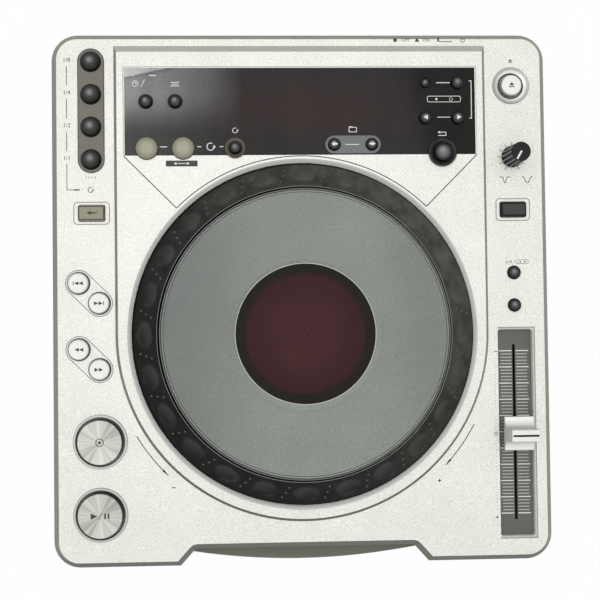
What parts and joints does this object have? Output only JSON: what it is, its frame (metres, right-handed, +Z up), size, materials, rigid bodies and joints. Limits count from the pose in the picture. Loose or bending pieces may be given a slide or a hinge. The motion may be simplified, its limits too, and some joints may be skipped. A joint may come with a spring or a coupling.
{
  "type": "tabletop disc player",
  "caption": "Tabletop disc player for DJs with a turning jog wheel and touch platter, sloping deck of buttons, tempo fader, display window and front slot loading drive.",
  "frame": {"origin": "middle of the bounding box at table height", "axes": "+X to the player's right, +Y to the rear, where the jacks are, +Z up; the deck slopes down towards -Y by 4 degrees"},
  "size_m": [0.305, 0.344, 0.1088],
  "materials": {
    "cover_silver": "warm silver paint with a fine metallic speckle",
    "case_charcoal": "matt charcoal powder coat",
    "bezel_grey": "grey metallic paint",
    "window_smoke": "smoked, polished",
    "display_black": "dark glass-like filter",
    "pod_olive": "satin olive grey",
    "pod_grey": "satin mid grey",
    "ring_silver": "satin plated trim",
    "loop_black": "satin near-black",
    "button_black": "polished black",
    "point_beige": "translucent beige",
    "reverse_tan": "translucent tan",
    "jog_mode_black": "smoked translucent",
    "button_white": "satin white",
    "transport_metal": "spun, radial sheen",
    "knob_black": "fluted satin black",
    "fader_grey": "matt grey with printed scale",
    "fader_silver": "smooth silver paint",
    "fader_black": "matt black",
    "grip_rubber": "matt black elastomer",
    "platter_grey": "bead-blasted grey with fine speckle",
    "lens_smoke": "smoked maroon lens",
    "jog_black": "matt black",
    "jog_display_maroon": "dark maroon display",
    "panel_black": "matt black paint",
    "jack_black": "moulded black with plated contacts",
    "foot_rubber": "matt",
    "screw_steel": "zinc plated",
    "board_green": "solder mask",
    "chassis_steel": "zinc-plated sheet",
    "drive_black": "moulded black",
    "roller_rubber": "matt"
  },
  "bodies": {
    "case": {"top_cover": "cover_silver", "centre_panel": "cover_silver", "display_hood": "cover_silver", "display_window": "window_smoke", "display_module": "display_black", "loop_pod": "pod_olive", "folder_pod": "pod_grey", "button_rings": "ring_silver", "fader_panel": "fader_grey", "fader_body": "fader_black", "front_bezel": "bezel_grey", "bottom_case": "case_charcoal", "rear_panel": "panel_black", "feet": "foot_rubber", "case_screws": "screw_steel", "jack_block": "jack_black", "mains_inlet": "jack_black", "circuit_boards": "board_green", "drive_chassis": "chassis_steel", "jog_base": "jog_black", "jog_display": "jog_display_maroon"},
    "loop_button_1": {"loop_button_1": "loop_black"},
    "loop_button_2": {"loop_button_2": "loop_black"},
    "loop_button_3": {"loop_button_3": "loop_black"},
    "loop_button_4": {"loop_button_4": "loop_black"},
    "track_back_button": {"track_back_button": "button_white"},
    "track_forward_button": {"track_forward_button": "button_white"},
    "search_back_button": {"search_back_button": "button_white"},
    "search_forward_button": {"search_forward_button": "button_white"},
    "tempo_range_button": {"tempo_range_button": "button_black"},
    "tempo_lock_button": {"tempo_lock_button": "button_black"},
    "time_mode_button": {"time_mode_button": "button_black"},
    "text_mode_button": {"text_mode_button": "button_black"},
    "loop_in_button": {"loop_in_button": "point_beige"},
    "loop_out_button": {"loop_out_button": "point_beige"},
    "folder_back_button": {"folder_back_button": "button_black"},
    "folder_forward_button": {"folder_forward_button": "button_black"},
    "delete_button": {"delete_button": "button_black"},
    "memory_button": {"memory_button": "button_black"},
    "call_back_button": {"call_back_button": "button_black"},
    "call_forward_button": {"call_forward_button": "button_black"},
    "reloop_button": {"reloop_button": "button_black"},
    "quick_return_button": {"quick_return_button": "button_black"},
    "eject_button": {"eject_button": "button_white"},
    "reverse_button": {"reverse_button": "reverse_tan"},
    "jog_mode_button": {"jog_mode_button": "jog_mode_black"},
    "cue_button": {"cue_button": "transport_metal"},
    "play_button": {"play_button": "transport_metal"},
    "speed_knob": {"speed_knob": "knob_black"},
    "fader_cap": {"fader_cap": "fader_silver"},
    "power_button": {"power_button": "button_black"},
    "disc_turntable": {"disc_turntable": "drive_black"},
    "pickup_sled": {"pickup_sled": "drive_black"},
    "loading_roller": {"loading_roller": "roller_rubber"},
    "clamp_arm": {"clamp_arm": "chassis_steel"},
    "clamper": {"clamper": "drive_black"},
    "jog": {"jog_wheel": "jog_black", "jog_ring": "grip_rubber"},
    "platter": {"jog_platter": "platter_grey", "jog_lens": "lens_smoke"}
  },
  "joints": [
    {"name": "loop_button_1_press", "type": "slide", "parent": "case", "child": "loop_button_1", "axis": [0, 0.0698, -0.9976], "range_m": [0, 0.001], "stiffness_N_per_m": 800, "springref_m": -0.0005},
    {"name": "loop_button_2_press", "type": "slide", "parent": "case", "child": "loop_button_2", "axis": [0, 0.0698, -0.9976], "range_m": [0, 0.001], "stiffness_N_per_m": 800, "springref_m": -0.0005},
    {"name": "loop_button_3_press", "type": "slide", "parent": "case", "child": "loop_button_3", "axis": [0, 0.0698, -0.9976], "range_m": [0, 0.001], "stiffness_N_per_m": 800, "springref_m": -0.0005},
    {"name": "loop_button_4_press", "type": "slide", "parent": "case", "child": "loop_button_4", "axis": [0, 0.0698, -0.9976], "range_m": [0, 0.001], "stiffness_N_per_m": 800, "springref_m": -0.0005},
    {"name": "track_back_button_press", "type": "slide", "parent": "case", "child": "track_back_button", "axis": [0, 0.0698, -0.9976], "range_m": [0, 0.001], "stiffness_N_per_m": 800, "springref_m": -0.0005},
    {"name": "track_forward_button_press", "type": "slide", "parent": "case", "child": "track_forward_button", "axis": [0, 0.0698, -0.9976], "range_m": [0, 0.001], "stiffness_N_per_m": 800, "springref_m": -0.0005},
    {"name": "search_back_button_press", "type": "slide", "parent": "case", "child": "search_back_button", "axis": [0, 0.0698, -0.9976], "range_m": [0, 0.001], "stiffness_N_per_m": 800, "springref_m": -0.0005},
    {"name": "search_forward_button_press", "type": "slide", "parent": "case", "child": "search_forward_button", "axis": [0, 0.0698, -0.9976], "range_m": [0, 0.001], "stiffness_N_per_m": 800, "springref_m": -0.0005},
    {"name": "tempo_range_button_press", "type": "slide", "parent": "case", "child": "tempo_range_button", "axis": [0, 0.0698, -0.9976], "range_m": [0, 0.001], "stiffness_N_per_m": 800, "springref_m": -0.0005},
    {"name": "tempo_lock_button_press", "type": "slide", "parent": "case", "child": "tempo_lock_button", "axis": [0, 0.0698, -0.9976], "range_m": [0, 0.001], "stiffness_N_per_m": 800, "springref_m": -0.0005},
    {"name": "time_mode_button_press", "type": "slide", "parent": "case", "child": "time_mode_button", "axis": [0, 0.0698, -0.9976], "range_m": [0, 0.001], "stiffness_N_per_m": 800, "springref_m": -0.0005},
    {"name": "text_mode_button_press", "type": "slide", "parent": "case", "child": "text_mode_button", "axis": [0, 0.0698, -0.9976], "range_m": [0, 0.001], "stiffness_N_per_m": 800, "springref_m": -0.0005},
    {"name": "loop_in_button_press", "type": "slide", "parent": "case", "child": "loop_in_button", "axis": [0, 0.0698, -0.9976], "range_m": [0, 0.001], "stiffness_N_per_m": 800, "springref_m": -0.0005},
    {"name": "loop_out_button_press", "type": "slide", "parent": "case", "child": "loop_out_button", "axis": [0, 0.0698, -0.9976], "range_m": [0, 0.001], "stiffness_N_per_m": 800, "springref_m": -0.0005},
    {"name": "folder_back_button_press", "type": "slide", "parent": "case", "child": "folder_back_button", "axis": [0, 0.0698, -0.9976], "range_m": [0, 0.001], "stiffness_N_per_m": 800, "springref_m": -0.0005},
    {"name": "folder_forward_button_press", "type": "slide", "parent": "case", "child": "folder_forward_button", "axis": [0, 0.0698, -0.9976], "range_m": [0, 0.001], "stiffness_N_per_m": 800, "springref_m": -0.0005},
    {"name": "delete_button_press", "type": "slide", "parent": "case", "child": "delete_button", "axis": [0, 0.0698, -0.9976], "range_m": [0, 0.001], "stiffness_N_per_m": 800, "springref_m": -0.0005},
    {"name": "memory_button_press", "type": "slide", "parent": "case", "child": "memory_button", "axis": [0, 0.0698, -0.9976], "range_m": [0, 0.001], "stiffness_N_per_m": 800, "springref_m": -0.0005},
    {"name": "call_back_button_press", "type": "slide", "parent": "case", "child": "call_back_button", "axis": [0, 0.0698, -0.9976], "range_m": [0, 0.001], "stiffness_N_per_m": 800, "springref_m": -0.0005},
    {"name": "call_forward_button_press", "type": "slide", "parent": "case", "child": "call_forward_button", "axis": [0, 0.0698, -0.9976], "range_m": [0, 0.001], "stiffness_N_per_m": 800, "springref_m": -0.0005},
    {"name": "reloop_button_press", "type": "slide", "parent": "case", "child": "reloop_button", "axis": [0, 0.0698, -0.9976], "range_m": [0, 0.001], "stiffness_N_per_m": 800, "springref_m": -0.0005},
    {"name": "quick_return_button_press", "type": "slide", "parent": "case", "child": "quick_return_button", "axis": [0, 0.0698, -0.9976], "range_m": [0, 0.001], "stiffness_N_per_m": 800, "springref_m": -0.0005},
    {"name": "eject_button_press", "type": "slide", "parent": "case", "child": "eject_button", "axis": [0, 0.0698, -0.9976], "range_m": [0, 0.001], "stiffness_N_per_m": 800, "springref_m": -0.0005},
    {"name": "reverse_button_press", "type": "slide", "parent": "case", "child": "reverse_button", "axis": [0, 0.0698, -0.9976], "range_m": [0, 0.001], "stiffness_N_per_m": 800, "springref_m": -0.0005},
    {"name": "jog_mode_button_press", "type": "slide", "parent": "case", "child": "jog_mode_button", "axis": [0, 0.0698, -0.9976], "range_m": [0, 0.001], "stiffness_N_per_m": 800, "springref_m": -0.0005},
    {"name": "cue_button_press", "type": "slide", "parent": "case", "child": "cue_button", "axis": [0, 0.0698, -0.9976], "range_m": [0, 0.001], "stiffness_N_per_m": 1000, "springref_m": -0.0008},
    {"name": "play_button_press", "type": "slide", "parent": "case", "child": "play_button", "axis": [0, 0.0698, -0.9976], "range_m": [0, 0.001], "stiffness_N_per_m": 1000, "springref_m": -0.0008},
    {"name": "power_button_press", "type": "slide", "parent": "case", "child": "power_button", "axis": [0, -1, 0], "range_m": [0, 0.0035], "stiffness_N_per_m": 600, "springref_m": -0.001},
    {"name": "speed_knob_turn", "type": "hinge", "parent": "case", "child": "speed_knob", "pos_m": [0.1306, 0.08519, 0.09201], "axis": [0, -0.0698, 0.9976], "range_deg": [-116, 184]},
    {"name": "fader_slide", "type": "slide", "parent": "case", "child": "fader_cap", "axis": [0, 0.9976, 0.0698], "range_m": [-0.05, 0.05]},
    {"name": "jog_turn", "type": "hinge", "parent": "case", "child": "jog", "pos_m": [0, -0.02215, 0.0845], "axis": [0, -0.0698, 0.9976], "continuous": true},
    {"name": "platter_press", "type": "slide", "parent": "jog", "child": "platter", "axis": [0, 0.0698, -0.9976], "range_m": [0, 0.0006], "stiffness_N_per_m": 20000, "springref_m": -0.0003},
    {"name": "disc_turntable_spin", "type": "hinge", "parent": "case", "child": "disc_turntable", "pos_m": [0, -0.07413, 0.0433], "axis": [0, 0, 1], "continuous": true},
    {"name": "pickup_sled_travel", "type": "slide", "parent": "case", "child": "pickup_sled", "axis": [0, 1, 0], "range_m": [0, 0.034]},
    {"name": "loading_roller_turn", "type": "hinge", "parent": "case", "child": "loading_roller", "pos_m": [0, -0.14063, 0.0357], "axis": [1, 0, 0], "continuous": true},
    {"name": "clamp_arm_swing", "type": "hinge", "parent": "case", "child": "clamp_arm", "pos_m": [0, -0.00513, 0.0515], "axis": [1, 0, 0], "range_deg": [0, 3.4]},
    {"name": "clamper_spin", "type": "hinge", "parent": "clamp_arm", "child": "clamper", "pos_m": [0, -0.07413, 0.0515], "axis": [0, 0, 1], "continuous": true}
  ]
}
